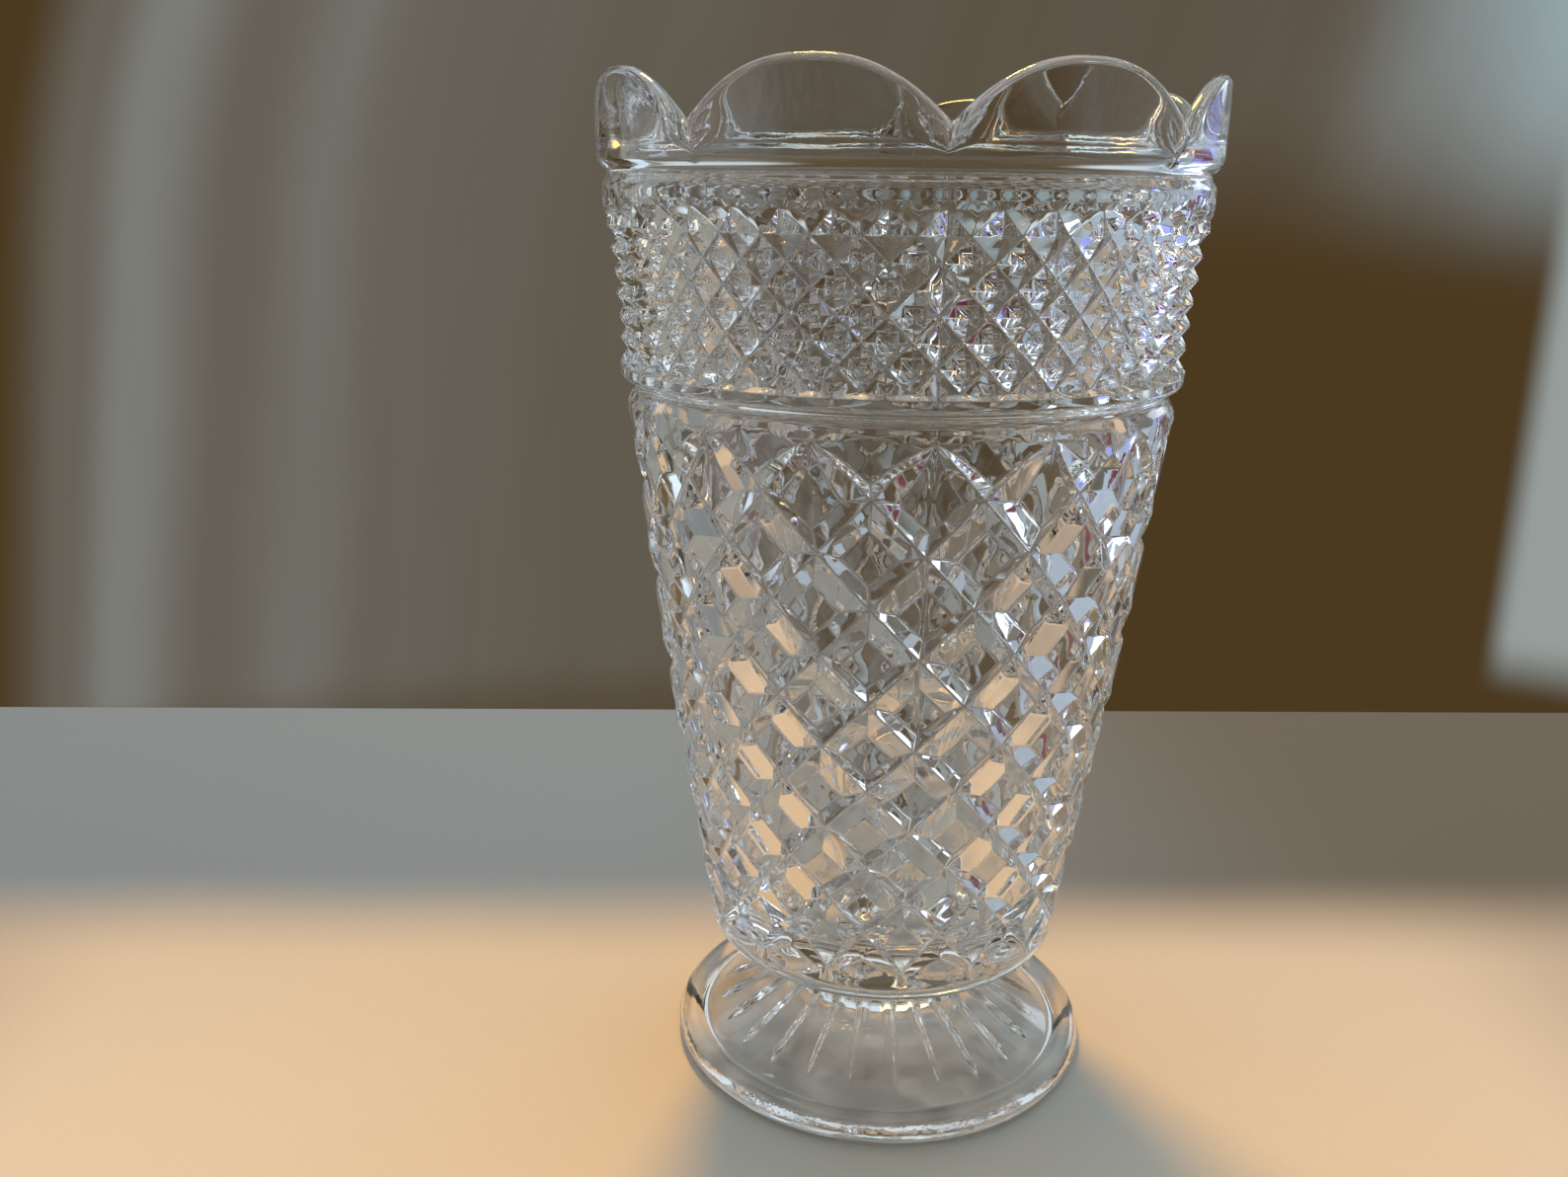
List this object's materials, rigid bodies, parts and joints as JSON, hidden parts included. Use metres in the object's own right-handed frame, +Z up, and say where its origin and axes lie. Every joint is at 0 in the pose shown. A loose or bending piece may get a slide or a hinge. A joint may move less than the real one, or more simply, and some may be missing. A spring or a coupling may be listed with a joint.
{
  "type": "footed pressed glass vase",
  "caption": "Tall tapering vase of clear pressed glass with a scalloped rim, a band of small pyramids, a diamond lattice body and a round rayed foot.",
  "frame": {"origin": "centre of the foot's ring where it rests on the table", "axes": "+Z up along the axis of the vase, -Y towards the front mould seam, +X to the right seen from the front"},
  "size_m": [0.156, 0.156, 0.2685],
  "materials": {
    "clear_glass": "polished"
  },
  "bodies": {
    "root": {"bowl": "clear_glass", "stem": "clear_glass", "foot": "clear_glass"}
  },
  "joints": []
}
